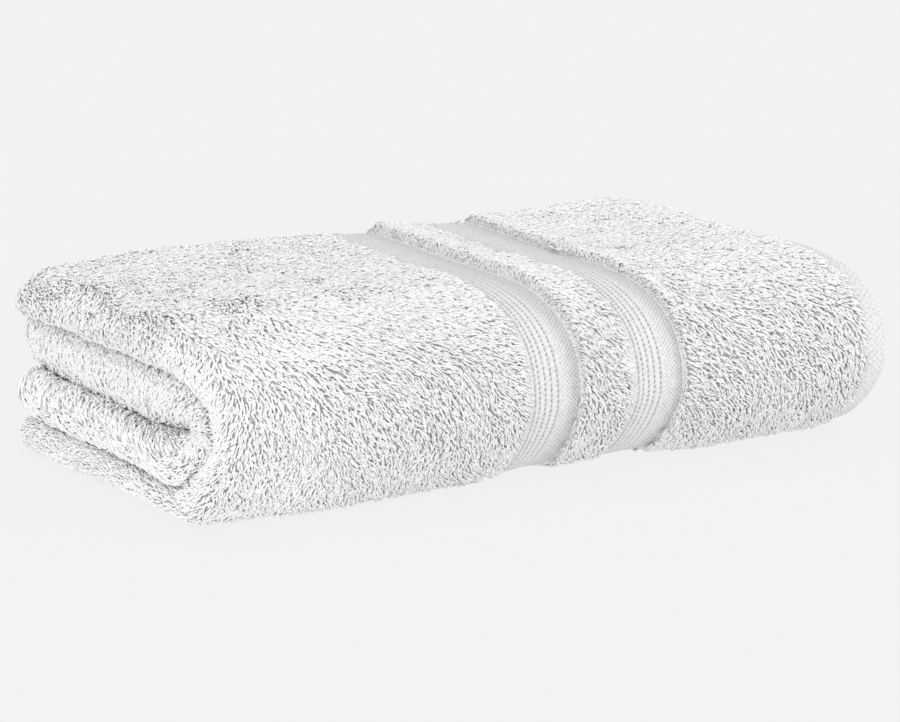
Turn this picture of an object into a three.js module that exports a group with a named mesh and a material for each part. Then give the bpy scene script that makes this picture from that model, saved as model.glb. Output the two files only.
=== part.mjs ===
// Bath towel, folded for the shelf. One woven terry cloth, 760 by 1420 mm, is folded in half across its
// width, then back and forth in four along its length, then in half once more, so that sixteen plies lie
// in a bundle with its round fold at the front and its cloth edges at the back.
// Units are millimetres. X runs along the bundle, from the folded lobes (-X) to the hem (+X), the round
// fold faces -Y, Z is up, and the origin is under the middle of the bundle, on the surface it lies on.
// The sizes below are measured from a point close to that middle, and the finished cloth is centred.

import * as THREE from 'three';

// Driving dimensions of the bundle's section
const FRONT_Y = -96;
const BACK_Y = { upper: 96, lower: 91 };
const WAIST_Z = 39;
const SHOULDER_WIDTH = 83;
const SHOULDER_POWER = 0.8;
const FOOT_POWER = 1.35;

// The hollow inside the round fold, and the slot that it narrows to as it rises to the back
const HOLLOW_Z = 36.5;
const SLOT_BACK_Z = 41;
const HOLLOW_HALF_HEIGHT = 5;
const HOLLOW_FRONT_Y = -53;
const HOLLOW_BACK_Y = { upper: -22, lower: -35 };
const SLOT_HALF_HEIGHT = 0.6;

// Layers of the back-and-forth fold, each of two plies, counted from the hollow outwards
const LAYERS = 4;
const OUTER_PAIR_SHARE = 0.44;
const LAYER_HALF = 0.46;
const PLY_GAP_HALF = 0.03;
const OUTER_SURFACE = LAYERS - 0.5 + LAYER_HALF;

// Flat woven bands across the outer layer and the flat hem that ends it. How far they are sunk below the
// pile, and how far the pile bulges beside a band, are shares of a layer.
const BANDS = [
  { left: -24, right: 5.5, bulge: 0.33 },
  { left: 31.5, right: 61, bulge: 0.2 },
];
const BAND_SUNK = { left: 0.06, right: 0.27 };
const BULGE_WIDTH = 26;
const HEM_WIDTH = 14;
const HEM_SUNK = 0.24;
const STEP_WIDTH = 1;

// Where the layers end or turn on the right
const HEM_END_X = { outer: 181, inner: 173 };
const RIGHT_TURN_X = 176;

// How far left the folded lobes reach, for the outer and the inner pair of layers. Path 0 to 1 is the top
// of the section from the back, 1 to 2 its shoulder, 2 to 3 its foot and 3 to 4 the underside.
const LEFT_REACH = [
  { path: 0, outer: -184, inner: -181 },
  { path: 1, outer: -180, inner: -177 },
  { path: 2, outer: -170, inner: -168 },
  { path: 3, outer: -180, inner: -181 },
  { path: 4, outer: -187, inner: -187 },
];

// Outline along the bundle: height at the back and at the shoulder, and width of the rounded foot
const OUTLINE = [
  { x: -186, back: 82, shoulder: 80, foot: 30 },
  { x: -160, back: 88, shoulder: 85, foot: 22 },
  { x: -120, back: 91, shoulder: 87, foot: 18 },
  { x: -45, back: 91, shoulder: 87, foot: 24 },
  { x: 0, back: 91, shoulder: 87, foot: 36 },
  { x: 62, back: 92, shoulder: 87, foot: 39 },
  { x: 92, back: 93.5, shoulder: 88, foot: 31 },
  { x: 150, back: 96, shoulder: 89, foot: 35 },
  { x: 182, back: 92, shoulder: 88, foot: 42 },
];

// The width fold at the lower back, where the two plies of a layer join in a round nose
const PLY_GAP_END = 3.96;
const NOSE_DEPTH = 4.5;
const NOSE_TIP = 0.25;

// Mesh steps
const PATH_STEPS = { top: 3, shoulder: 7, foot: 5, bottom: 3 };
const NOSE_STEPS = 3;
const RUN_X = [-150, -90, -30, 30, 90, 150];
const SURFACE_STEP = 13;
const SEGMENT = 1000;
const WIDE_TURN_STEPS = 7;
const NARROW_TURN_STEPS = 4;

const { lerp, smoothstep } = THREE.MathUtils;

// Value of a table's column at a place, eased from row to row
function fromTable(table, key, place, column) {
  const next = table.findIndex((row) => row[key] > place);
  if (next === -1) return table[table.length - 1][column];
  if (next === 0) return table[0][column];
  const before = table[next - 1];
  const after = table[next];
  return lerp(before[column], after[column], smoothstep(place, before[key], after[key]));
}

// Outer line of the section, at a place of the path and along the bundle
function outerLine(path, x) {
  const shoulder = fromTable(OUTLINE, 'x', x, 'shoulder');
  const foot = fromTable(OUTLINE, 'x', x, 'foot');
  if (path <= 1) {
    const back = fromTable(OUTLINE, 'x', x, 'back');
    return { y: lerp(BACK_Y.upper, FRONT_Y + SHOULDER_WIDTH, path), z: lerp(back, shoulder, path) };
  }
  if (path <= 2) {
    const angle = (2 - path) * Math.PI / 2;
    return {
      y: FRONT_Y + SHOULDER_WIDTH * (1 - Math.cos(angle) ** SHOULDER_POWER),
      z: WAIST_Z + (shoulder - WAIST_Z) * Math.sin(angle) ** SHOULDER_POWER,
    };
  }
  if (path < 3) {
    const angle = (path - 2) * Math.PI / 2;
    return {
      y: FRONT_Y + foot * (1 - Math.cos(angle) ** FOOT_POWER),
      z: WAIST_Z * (1 - Math.sin(angle) ** FOOT_POWER),
    };
  }
  return { y: lerp(FRONT_Y + foot, BACK_Y.lower, path - 3), z: 0 };
}

// Inner line of the section: the slot from the back, and the hollow of the round fold that it opens into
function innerLine(path) {
  const side = path <= 2 ? 'upper' : 'lower';
  const sign = path <= 2 ? 1 : -1;
  const fromBack = path <= 2 ? path : 4 - path;
  const hollowBack = HOLLOW_BACK_Y[side];
  if (fromBack <= 1) {
    const middle = lerp(SLOT_BACK_Z, HOLLOW_Z, fromBack);
    const half = lerp(SLOT_HALF_HEIGHT, HOLLOW_HALF_HEIGHT, fromBack ** 3);
    return { y: lerp(BACK_Y[side], hollowBack, fromBack), z: middle + sign * half };
  }
  const angle = (2 - fromBack) * Math.PI / 2;
  return {
    y: lerp(hollowBack, HOLLOW_FRONT_Y, Math.cos(angle)),
    z: HOLLOW_Z + sign * HOLLOW_HALF_HEIGHT * Math.sin(angle),
  };
}

// Thickness of one layer at a place of the path
function layerThickness(path) {
  const outer = outerLine(path, 0);
  const inner = innerLine(path);
  const distance = Math.hypot(outer.y - inner.y, outer.z - inner.z);
  return distance / LAYERS;
}

// Share of the way from the inner line to the outer line at a count of layers
function layerShare(layer) {
  const half = LAYERS / 2;
  if (layer <= half) return (1 - OUTER_PAIR_SHARE) * layer / half;
  return 1 - OUTER_PAIR_SHARE * (OUTER_SURFACE - layer) / (OUTER_SURFACE - half);
}

// How far the pile surface of the outer layer stands above its plain level, in layers
function surfaceRelief(x, path) {
  const upper = 1 - smoothstep(path, 2, 3);
  let relief = 0;
  for (const band of BANDS) {
    const across = (x - band.left) / (band.right - band.left);
    if (across > 0 && across < 1) relief -= lerp(BAND_SUNK.left, BAND_SUNK.right, across);
    const beyond = x - band.right;
    const fade = 1 - smoothstep(beyond, STEP_WIDTH, BULGE_WIDTH);
    if (beyond >= STEP_WIDTH) relief += band.bulge * upper * fade;
  }
  if (x > HEM_END_X.outer - HEM_WIDTH) relief -= HEM_SUNK;
  return relief;
}

// Places along X where the outer surface has points, with a pair of them at each edge
function surfacePlaces() {
  const first = RUN_X[0];
  const hemStart = HEM_END_X.outer - HEM_WIDTH;
  const edges = [first];
  for (const band of BANDS) {
    for (const edge of [band.left, band.right]) edges.push(edge - STEP_WIDTH, edge + STEP_WIDTH);
  }
  edges.push(hemStart, hemStart + STEP_WIDTH, HEM_END_X.outer);
  const places = [first];
  for (let i = 1; i < edges.length; i += 1) {
    const steps = Math.ceil((edges[i] - edges[i - 1]) / SURFACE_STEP);
    for (let k = 1; k <= steps; k += 1) places.push(lerp(edges[i - 1], edges[i], k / steps));
  }
  return places;
}

// One straight stretch of a layer. Along says how far round the folds a point lies, so that the two sides
// of a ply can be joined in step.
function run(segment, layer, offset, places, surface = false) {
  const leftwards = segment % 2 === 0;
  const points = places.map((x) => ({
    x,
    surface,
    middle: layer,
    layer: layer + (leftwards ? offset : -offset),
    along: segment * SEGMENT + (leftwards ? SEGMENT / 4 - x : SEGMENT / 4 + x),
  }));
  return leftwards ? points.reverse() : points;
}

// Half turn between two layers, with its distances out from the centre counted in layers
function turn(segment, centre, side, pair, offset) {
  const radius = 0.5 + (side === 'left' ? offset : -offset);
  const steps = radius > 0.5 + PLY_GAP_HALF ? WIDE_TURN_STEPS : NARROW_TURN_STEPS;
  const points = [];
  for (let i = 0; i <= steps; i += 1) {
    const angle = Math.PI * (0.5 - i / steps);
    points.push({
      side,
      pair,
      middle: centre + 0.5 * Math.sin(angle),
      layer: centre + radius * Math.sin(angle),
      middleOut: 0.5 * Math.cos(angle),
      out: radius * Math.cos(angle),
      along: (segment + 0.5 + 0.25 * i / steps) * SEGMENT,
    });
  }
  return points;
}

// One side of the four layers as they go back and forth, from the outer hem to the inner hem, at a signed
// distance from their middle lines
function layerSide(offset, surface) {
  const outerRun = surface ? surfacePlaces() : [...RUN_X, HEM_END_X.outer];
  return [
    ...run(0, 3.5, offset, outerRun, surface),
    ...turn(0, 3, 'left', 'outer', offset),
    ...run(1, 2.5, offset, RUN_X),
    ...turn(1, 2, 'right', null, offset),
    ...run(2, 1.5, offset, RUN_X),
    ...turn(2, 1, 'left', 'inner', offset),
    ...run(3, 0.5, offset, [...RUN_X, HEM_END_X.inner]),
  ];
}

// A point of a layer in space. Swell 1 keeps the layer's thickness, and 0 draws it to its middle line.
function placed(point, { path, swell, push }) {
  const thickness = layerThickness(path);
  const reach = (0.5 + LAYER_HALF) * thickness;
  const out = lerp(point.middleOut, point.out, swell) * thickness;
  let x = point.x;
  if (point.side === 'left') x = fromTable(LEFT_REACH, 'path', path, point.pair) + reach - out;
  if (point.side === 'right') x = RIGHT_TURN_X - reach + out;
  const relief = point.surface ? surfaceRelief(x, path) : 0;
  const share = layerShare(lerp(point.middle, point.layer + relief, swell));
  const outer = outerLine(path, x);
  const inner = innerLine(path);
  return [x, lerp(inner.y, outer.y, share) + push, lerp(inner.z, outer.z, share)];
}

// Rings of the path where the layers have points, and the first ring past the gap between the plies
function pathRings() {
  const places = [0];
  Object.values(PATH_STEPS).forEach((steps, part) => {
    for (let k = 1; k <= steps; k += 1) places.push(part + k / steps);
  });
  places.splice(-1, 0, PLY_GAP_END);
  const rings = places.map((path) => ({ path, swell: 1, push: 0 }));
  for (let k = 1; k <= NOSE_STEPS; k += 1) {
    const angle = Math.PI / 2 * k / NOSE_STEPS;
    rings.push({ path: 4, swell: Math.max(Math.cos(angle), NOSE_TIP), push: NOSE_DEPTH * Math.sin(angle) });
  }
  return { rings, gapEnd: places.length - 2 };
}

// The cloth as one closed body. Its four sides are the two faces of each layer and the two sides of the
// gap between its plies, which is open at the upper back and at the hems.
function clothGeometry() {
  const { rings, gapEnd } = pathRings();
  const lastRing = rings.length - 1;
  const positions = [];
  const indices = [];

  function addSide(offset, surface, ringCount) {
    const points = layerSide(offset, surface);
    const starts = [];
    for (let ring = 0; ring <= ringCount; ring += 1) {
      starts.push(positions.length / 3);
      for (const point of points) positions.push(...placed(point, rings[ring]));
    }
    const at = (ring, k) => starts[ring] + k;
    return { points, at, ringCount, last: points.length - 1 };
  }

  function triangle(flip, a, b, c) {
    indices.push(a, flip ? c : b, flip ? b : c);
  }

  function quad(flip, a, b, c, d) {
    triangle(flip, a, b, c);
    triangle(flip, a, c, d);
  }

  // The faces of a side from ring to ring
  function cover(flip, { at, ringCount, last }) {
    for (let ring = 0; ring < ringCount; ring += 1) {
      for (let k = 0; k < last; k += 1) {
        quad(flip, at(ring, k), at(ring, k + 1), at(ring + 1, k + 1), at(ring + 1, k));
      }
    }
  }

  // The faces between two sides at one ring, stepping on whichever side lies further back
  function join(flip, one, other, ring) {
    let i = 0;
    let j = 0;
    while (i < one.last || j < other.last) {
      const oneNext = i < one.last ? one.points[i + 1].along : Infinity;
      const otherNext = j < other.last ? other.points[j + 1].along : Infinity;
      if (oneNext <= otherNext) {
        triangle(flip, one.at(ring, i), other.at(ring, j), one.at(ring, i + 1));
        i += 1;
      } else {
        triangle(flip, one.at(ring, i), other.at(ring, j), other.at(ring, j + 1));
        j += 1;
      }
    }
  }

  // The faces between two sides along a hem
  function hemWall(flip, one, other, place, from, to) {
    for (let ring = from; ring < to; ring += 1) {
      const [i, j] = place === 'first' ? [0, 0] : [one.last, other.last];
      quad(flip, one.at(ring, i), one.at(ring + 1, i), other.at(ring + 1, j), other.at(ring, j));
    }
  }

  const face = addSide(LAYER_HALF, true, lastRing);
  const faceGap = addSide(PLY_GAP_HALF, false, gapEnd);
  const backGap = addSide(-PLY_GAP_HALF, false, gapEnd);
  const back = addSide(-LAYER_HALF, false, lastRing);

  cover(false, face);
  cover(true, faceGap);
  cover(false, backGap);
  cover(true, back);
  join(false, face, faceGap, 0);
  join(false, backGap, back, 0);
  join(false, faceGap, backGap, gapEnd);
  join(true, face, back, lastRing);
  for (const place of ['first', 'last']) {
    const flip = place === 'last';
    hemWall(flip, face, faceGap, place, 0, gapEnd);
    hemWall(flip, backGap, back, place, 0, gapEnd);
    hemWall(flip, face, back, place, gapEnd + 1, lastRing);
    const row = [face, faceGap, backGap, back].map((side) => side.at(gapEnd, flip ? side.last : 0));
    const next = [face, back].map((side) => side.at(gapEnd + 1, flip ? side.last : 0));
    for (let k = 0; k < row.length - 1; k += 1) triangle(flip, next[0], row[k + 1], row[k]);
    triangle(flip, next[0], next[1], row[3]);
  }

  const geometry = new THREE.BufferGeometry();
  geometry.setAttribute('position', new THREE.Float32BufferAttribute(positions, 3));
  geometry.setIndex(indices);
  geometry.computeVertexNormals();
  return geometry;
}

const whiteTerry = new THREE.MeshStandardMaterial({
  name: 'white terry', color: 0xebe9ea, roughness: 0.95, metalness: 0,
});

const towel = new THREE.Mesh(clothGeometry(), whiteTerry);
towel.name = 'towel';
const middle = new THREE.Box3().setFromObject(towel).getCenter(new THREE.Vector3());
towel.position.set(-middle.x, -middle.y, 0);

const bundle = new THREE.Group();
bundle.name = 'folded bath towel';
bundle.add(towel);

export default bundle;
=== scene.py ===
# Looks of the folded bath towel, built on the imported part's frame. The towel is one terry cloth, and the
# scene gives it its combed pile of cotton loops, two flat woven bands, woven hems and selvedges.
# Sizes are in millimetres from a point close to the middle of the bundle, as in the part's source, and
# every mesh is moved to the frame and turned to metres when it is made. A path runs round the bundle's
# section, layers are counted from the hollow outwards, and depths are mostly shares of a layer.

import math
from collections import namedtuple

import bpy
import numpy as np
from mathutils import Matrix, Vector


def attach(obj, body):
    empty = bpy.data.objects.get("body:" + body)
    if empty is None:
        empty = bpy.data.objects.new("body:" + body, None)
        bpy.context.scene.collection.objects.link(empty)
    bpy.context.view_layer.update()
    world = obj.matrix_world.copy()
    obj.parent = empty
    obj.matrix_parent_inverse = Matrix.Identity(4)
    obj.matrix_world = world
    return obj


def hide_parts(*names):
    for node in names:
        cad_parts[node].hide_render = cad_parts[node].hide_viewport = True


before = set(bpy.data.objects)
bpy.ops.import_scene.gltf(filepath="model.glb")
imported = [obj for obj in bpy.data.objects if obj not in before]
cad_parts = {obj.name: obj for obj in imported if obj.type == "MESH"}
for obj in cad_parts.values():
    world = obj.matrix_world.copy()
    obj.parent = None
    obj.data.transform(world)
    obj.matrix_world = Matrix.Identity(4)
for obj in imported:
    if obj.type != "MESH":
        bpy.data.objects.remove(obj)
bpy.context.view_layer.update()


def table(columns, *rows):
    """Rows of a short table, whose columns have the given names."""
    row_type = namedtuple("Row", columns)
    return [row_type(*row) for row in rows]


MM = 0.001
CENTRED = (2.878, 1.593, 0)
SEED = 7

# Section of the bundle, from the part's source. Path 0 to 1 is its top from the back, 1 to 2 its shoulder,
# 2 to 3 its foot and 3 to 4 its underside.
PATH_END = 4.0
PATH_STEPS = 1600
FRONT_Y = -96
BACK_Y = {"upper": 96, "lower": 91}
WAIST_Z = 39
SHOULDER_WIDTH = 83
SHOULDER_POWER = 0.8
FOOT_POWER = 1.35
HOLLOW_Z = 36.5
SLOT_BACK_Z = 41
HOLLOW_HALF_HEIGHT = 5
HOLLOW_FRONT_Y = -53
HOLLOW_BACK_Y = {"upper": -22, "lower": -35}
SLOT_HALF_HEIGHT = 0.6
SLOT_POWER = 6

# Layers of the back-and-forth fold, each of two plies
LAYERS = 4
OUTER_PAIR_SHARE = 0.44
LAYER_HALF = 0.46
PLY_GAP_HALF = 0.03
OUTER_LAYER = LAYERS - 0.5
INNER_LAYER = 0.5
OUTER_SURFACE = OUTER_LAYER + LAYER_HALF
HALF_TURN = 0.5 + LAYER_HALF
HEM_WIDTH = 14
HEM_END_X = {"outer": 181, "inner": 173}
RIGHT_TURN_X = 176

# The sheet's fold at the lower back, and the depth of the pile that stands on it
NOSE_DEPTH = 4.5
NOSE_PILE = 2

# Flat bands across the outer layer. How far they are sunk and how far the pile bulges beside them are
# shares of a layer.
BANDS = table(
    "name left right bulge",
    ("band_left", -24, 5.5, 0.33),
    ("band_right", 31.5, 61, 0.2),
)
BAND_SUNK = {"left": 0.12, "right": 0.27, "foot": 0.25}
BULGE_WIDTH = 26
BULGE_RISE = 1.8

# How far left the folded lobes reach
LEFT_REACH = table(
    "path outer inner",
    (0, -184, -181),
    (1, -180, -177),
    (2, -170, -168),
    (3, -180, -181),
    (4, -187, -187),
)

# How much fuller than round the lobes are, where an outer and an inner lobe meet and beside the hollow
LOBE_FULLNESS = table(
    "path outer inner hollow",
    (0, 0.26, 0.3, 0),
    (0.5, 0.14, 0.13, 0.12),
    (1, 0.13, 0.11, 0.2),
    (3, 0.13, 0.12, 0.2),
    (4, 0.14, 0.14, 0),
)

# Outline along the bundle: height at the back and at the shoulder, and width of the rounded foot
OUTLINE = table(
    "x back shoulder foot",
    (-186, 82, 80, 30),
    (-160, 88, 85, 22),
    (-120, 91, 87, 18),
    (-45, 91, 87, 24),
    (0, 91, 87, 36),
    (62, 92, 87, 39),
    (92, 93.5, 88, 31),
    (150, 96, 89, 35),
    (182, 92, 88, 42),
)

# Turns of the back-and-forth fold. Above and below name how full the two runs of a turn are.
TURNS = table(
    "side centre reach above below",
    (-1, 3, "outer", None, "outer"),
    (1, 2, None, None, None),
    (-1, 1, "inner", "inner", "hollow"),
)
OUTER_TURN, RIGHT_TURN, INNER_TURN = TURNS

# How far the roots of the pile and the ground of the cloth lie below the tips of the pile, in layers
PILE_DEPTH = 0.26
GROUND_DEPTH = 0.16
HIDDEN_DEPTH = 0.03
BELOW_BAND = 0.2
DEEPEST_GROUND = 0.4


# Numbers and shapes

LATTICE = 64


def lerp(start, end, share):
    return start + (end - start) * share


def eased(place, start, end):
    """0 before the start, 1 after the end, and a smooth step between them."""
    across = np.clip((place - start) / (end - start), 0, 1)
    return across * across * (3 - 2 * across)


def from_table(rows, place, column):
    """Value of a table's column at each place, eased from row to row. The first column holds the places."""
    places = np.array([row[0] for row in rows], float)
    values = np.array([getattr(row, column) for row in rows], float)
    row = np.clip(np.searchsorted(places, place, side="right") - 1, 0, len(places) - 2)
    return lerp(values[row], values[row + 1], eased(place, places[row], places[row + 1]))


def noise(u, v, size, seed):
    """Smooth random values from -1 to 1 over a plane, with lumps of about the given size."""
    lattice = np.random.default_rng(seed).uniform(-1, 1, (LATTICE, LATTICE))
    u, v = np.broadcast_arrays(u / size, v / size)
    column, row = np.floor(u).astype(int), np.floor(v).astype(int)
    across, down = eased(u - column, 0, 1), eased(v - row, 0, 1)
    left, right = column % LATTICE, (column + 1) % LATTICE
    above, below = row % LATTICE, (row + 1) % LATTICE
    upper = lerp(lattice[above, left], lattice[above, right], across)
    lower = lerp(lattice[below, left], lattice[below, right], across)
    return lerp(upper, lower, down)


def running_total(steps):
    """How far along a line each of its points lies, from the steps between them."""
    return np.concatenate([[0], np.cumsum(steps)])


# The bundle's section

def outer_line(path, x):
    """y and z of the outside of the section, at places of the path and along the bundle."""
    back, shoulder, foot = (from_table(OUTLINE, x, column) for column in ("back", "shoulder", "foot"))
    up = np.clip(2 - path, 0, 1) * np.pi / 2
    down = np.clip(path - 2, 0, 1) * np.pi / 2
    stretches = [path <= 1, path <= 2, path < 3]
    y = np.select(
        stretches,
        [
            lerp(BACK_Y["upper"], FRONT_Y + SHOULDER_WIDTH, path),
            FRONT_Y + SHOULDER_WIDTH * (1 - np.abs(np.cos(up)) ** SHOULDER_POWER),
            FRONT_Y + foot * (1 - np.abs(np.cos(down)) ** FOOT_POWER),
        ],
        lerp(FRONT_Y + foot, BACK_Y["lower"], path - 3),
    )
    z = np.select(
        stretches,
        [
            lerp(back, shoulder, path),
            WAIST_Z + (shoulder - WAIST_Z) * np.sin(up) ** SHOULDER_POWER,
            WAIST_Z * (1 - np.sin(down) ** FOOT_POWER),
        ],
        0,
    )
    return y, z


def from_back(path):
    """Place of the path counted from the back, on either half of the bundle."""
    return np.where(path <= 2, path, PATH_END - path)


def slot_widening(path):
    """0 at the back, where the slot is narrow, to 1 where it opens into the hollow."""
    return np.clip(from_back(path), 0, 1) ** SLOT_POWER


def inner_line(path):
    """y and z of the inside of the section: the slot from the back, and the hollow of the round fold."""
    upper = path <= 2
    sign = np.where(upper, 1, -1)
    share = from_back(path)
    hollow_back = np.where(upper, HOLLOW_BACK_Y["upper"], HOLLOW_BACK_Y["lower"])
    back = np.where(upper, BACK_Y["upper"], BACK_Y["lower"])
    on_slot = share <= 1
    half = lerp(SLOT_HALF_HEIGHT, HOLLOW_HALF_HEIGHT, slot_widening(path))
    angle = (2 - share) * np.pi / 2
    round_y = lerp(hollow_back, HOLLOW_FRONT_Y, np.cos(angle))
    round_z = HOLLOW_Z + sign * HOLLOW_HALF_HEIGHT * np.sin(angle)
    y = np.where(on_slot, lerp(back, hollow_back, share), round_y)
    z = np.where(on_slot, lerp(SLOT_BACK_Z, HOLLOW_Z, share) + sign * half, round_z)
    return y, z


def layer_thickness(path):
    outer_y, outer_z = outer_line(path, 0.0)
    inner_y, inner_z = inner_line(path)
    return np.hypot(outer_y - inner_y, outer_z - inner_z) / LAYERS


def layer_share(layer):
    """Share of the way from the inner line to the outer line at a count of layers."""
    half = LAYERS / 2
    inner_share = (1 - OUTER_PAIR_SHARE) * layer / half
    outer_share = 1 - OUTER_PAIR_SHARE * (OUTER_SURFACE - layer) / (OUTER_SURFACE - half)
    return np.where(layer <= half, inner_share, outer_share)


def section_point(x, path, layer, push=0.0):
    """Points of the bundle, pushed out at the back by some millimetres."""
    outer_y, outer_z = outer_line(path, x)
    inner_y, inner_z = inner_line(path)
    share = layer_share(layer)
    y = lerp(inner_y, outer_y, share) + push
    z = lerp(inner_z, outer_z, share)
    return np.stack(np.broadcast_arrays(x, y, z), axis=-1)


def path_table(layer):
    """Places of the path and how far they lie from the upper back, in millimetres, at one layer."""
    path = np.linspace(0, PATH_END, PATH_STEPS + 1)
    points = section_point(np.zeros_like(path), path, np.full_like(path, layer))
    return path, running_total(np.linalg.norm(np.diff(points, axis=0), axis=1))


def turn_end(turn, path):
    return RIGHT_TURN_X if turn.reach is None else from_table(LEFT_REACH, path, turn.reach)


def turn_length(path):
    return np.pi * HALF_TURN * layer_thickness(path)


def past_run(turn, path, x):
    """How far places lie past the end of a turn's upper run, in millimetres."""
    start = turn_end(turn, path) - turn.side * HALF_TURN * layer_thickness(path)
    return turn.side * (x - start)


def fullness(turn, angle, path):
    """How far a turn reaches as a share of its round shape. Angles above 0 are on its upper run."""
    above = from_table(LOBE_FULLNESS, path, turn.above) if turn.above else 0.0
    below = from_table(LOBE_FULLNESS, path, turn.below) if turn.below else 0.0
    return 1 + np.where(angle > 0, above, below) * np.sin(2 * angle) ** 2


def turn_place(turn, past, path, depth):
    """x and layer of a place round a turn, past millimetres beyond the end of its upper run, at a depth in
    layers below the tips of the pile."""
    thickness = layer_thickness(path)
    radius = HALF_TURN * thickness
    angle = np.pi / 2 - np.clip(past / radius, 0, np.pi)
    run = np.maximum(-past, 0) + np.maximum(past - np.pi * radius, 0)
    reach = (HALF_TURN - depth) * fullness(turn, angle, path)
    out = reach * thickness * np.cos(angle) - radius - run
    return turn_end(turn, path) + turn.side * out, turn.centre + reach * np.sin(angle)


def bulge(x, path):
    """How far the pile stands above its plain level beside a band, in layers."""
    upper = 1 - eased(path, 2, 3)
    total = 0.0
    for band in BANDS:
        beyond = x - band.right
        shape = eased(beyond, 0, BULGE_RISE) * (1 - eased(beyond, BULGE_RISE, BULGE_WIDTH))
        total = total + band.bulge * upper * shape
    return total


def band_depth(share, path):
    """Depth of a band's face below the tips of the pile, in layers, at a share of its width."""
    left = lerp(BAND_SUNK["left"], BAND_SUNK["foot"], eased(path, 2, 3))
    return lerp(left, BAND_SUNK["right"], share)


def ground_depth(x):
    """Depth of the outer layer's ground below the tips of the pile, in layers."""
    depth = np.full(len(x), GROUND_DEPTH)
    for band in BANDS:
        share = (x - band.left) / (band.right - band.left)
        below = np.minimum(band_depth(share, 0.0) + BELOW_BAND, DEEPEST_GROUND)
        depth = np.where((share >= 0) & (share <= 1), below, depth)
    return depth


# Objects and meshes

def new_object(name, data):
    item = bpy.data.objects.new(name, data)
    bpy.context.collection.objects.link(item)
    return item


def mesh_object(name, points, faces, uv=None, tone=None):
    """A smooth mesh from points in millimetres and arrays of faces, each with one count of corners."""
    mesh = bpy.data.meshes.new(name)
    corners = np.concatenate([group.ravel() for group in faces]).astype(np.int32)
    sizes = np.concatenate([np.full(len(group), group.shape[1]) for group in faces])
    mesh.vertices.add(len(points))
    mesh.vertices.foreach_set("co", ((points + CENTRED) * MM).astype(np.float32).ravel())
    mesh.loops.add(len(corners))
    mesh.loops.foreach_set("vertex_index", corners)
    mesh.polygons.add(len(sizes))
    mesh.polygons.foreach_set("loop_start", (np.cumsum(sizes) - sizes).astype(np.int32))
    mesh.polygons.foreach_set("use_smooth", np.ones(len(sizes), bool))
    if uv is not None:
        mesh.uv_layers.new(name="weave").data.foreach_set("uv", uv[corners].astype(np.float32).ravel())
    if tone is not None:
        # This attribute carries painted shade and painted fill light, with random tone, into the materials
        mesh.attributes.new("tone", "FLOAT", "POINT").data.foreach_set("value", tone.astype(np.float32))
    mesh.update(calc_edges=True)
    mesh.validate()
    return new_object(name, mesh)


def grid_faces(index, flip=False):
    """Quads between the rows and columns of a grid of point numbers."""
    quads = np.stack([index[:-1, :-1], index[:-1, 1:], index[1:, 1:], index[1:, :-1]], axis=-1)
    quads = quads.reshape(-1, 4)
    return quads[:, ::-1] if flip else quads


def slab(name, loops, across, along, tone):
    """A closed bar with flat ends, from rings of points. Its weave is laid out by places across it, one for
    each point of a ring, and along it, one for each ring."""
    rows, around = loops.shape[:2]
    index = np.arange(rows * around).reshape(rows, around)
    wrapped = np.concatenate([index, index[:, :1]], axis=1)
    faces = [grid_faces(wrapped), index[:1, ::-1], index[-1:]]
    uv = np.stack(np.broadcast_arrays(across[None, :], along[:, None]), axis=-1)
    return mesh_object(name, loops.reshape(-1, 3), faces, uv=uv.reshape(-1, 2), tone=tone.reshape(-1))


# The ground of the cloth

RING_SPACING = 10
RUN_SPACING = {"surface": 8, "hidden": 24}
TURN_POINTS = 11
NOSE_RINGS = 4
NOSE_TIP = 0.2
PLY_GAP_END = 3.96
LAST_RING = 3.94
LEFT_RUN_X = -150
RIGHT_RUN_X = 150
NEAR_LEFT = 40
EDGE_STEP = 1
HEM_STEP = 3
HEM_PLY_HALF = 0.08
HEM_CENTRE = 0.11
HEM_TUCK = 3

# The four sides of the doubled cloth: which way from the middle of a layer they lie, and how far
SIDES = {
    "face": (1, LAYER_HALF),
    "face gap": (1, PLY_GAP_HALF),
    "back gap": (-1, PLY_GAP_HALF),
    "back": (-1, LAYER_HALF),
}
COLUMNS = ("x", "layer", "middle", "turn", "angle", "out", "middle_out", "surface")


def hem_end(segment):
    return HEM_END_X["outer" if segment == 0 else "inner"]


def run_places(segment):
    """Places along X of one straight stretch, from its right end to its left end."""
    end = hem_end(segment)
    beside_hem = [end - HEM_WIDTH, end - HEM_WIDTH - HEM_STEP]
    if segment == 0:
        edges = [LEFT_RUN_X, end - HEM_TUCK] + beside_hem
        for band in BANDS:
            edges += [band.left - EDGE_STEP, band.left, band.right, band.right + EDGE_STEP]
        fill = np.arange(LEFT_RUN_X, end - HEM_WIDTH, RUN_SPACING["surface"])
        fill = fill[np.min(np.abs(fill[:, None] - np.array(edges)), axis=1) > EDGE_STEP]
        return np.sort(np.concatenate([edges, fill]))[::-1]
    last = segment == LAYERS - 1
    right = end - HEM_TUCK if last else RIGHT_RUN_X
    count = int((right - LEFT_RUN_X) / RUN_SPACING["hidden"]) + 1
    places = np.linspace(right, LEFT_RUN_X, count)
    return np.sort(np.append(places, beside_hem))[::-1] if last else places


def run_depth(name, segment, x):
    """Depth of one side of the cloth below the surface of its ply, on a straight stretch, in layers."""
    if name in ("face gap", "back gap"):
        return np.zeros(len(x))
    if name == "back":
        return np.full(len(x), HIDDEN_DEPTH)
    near_left = 1 - eased(x, LEFT_RUN_X, LEFT_RUN_X + NEAR_LEFT)
    return ground_depth(x) if segment == 0 else lerp(HIDDEN_DEPTH, GROUND_DEPTH, near_left)


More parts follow.
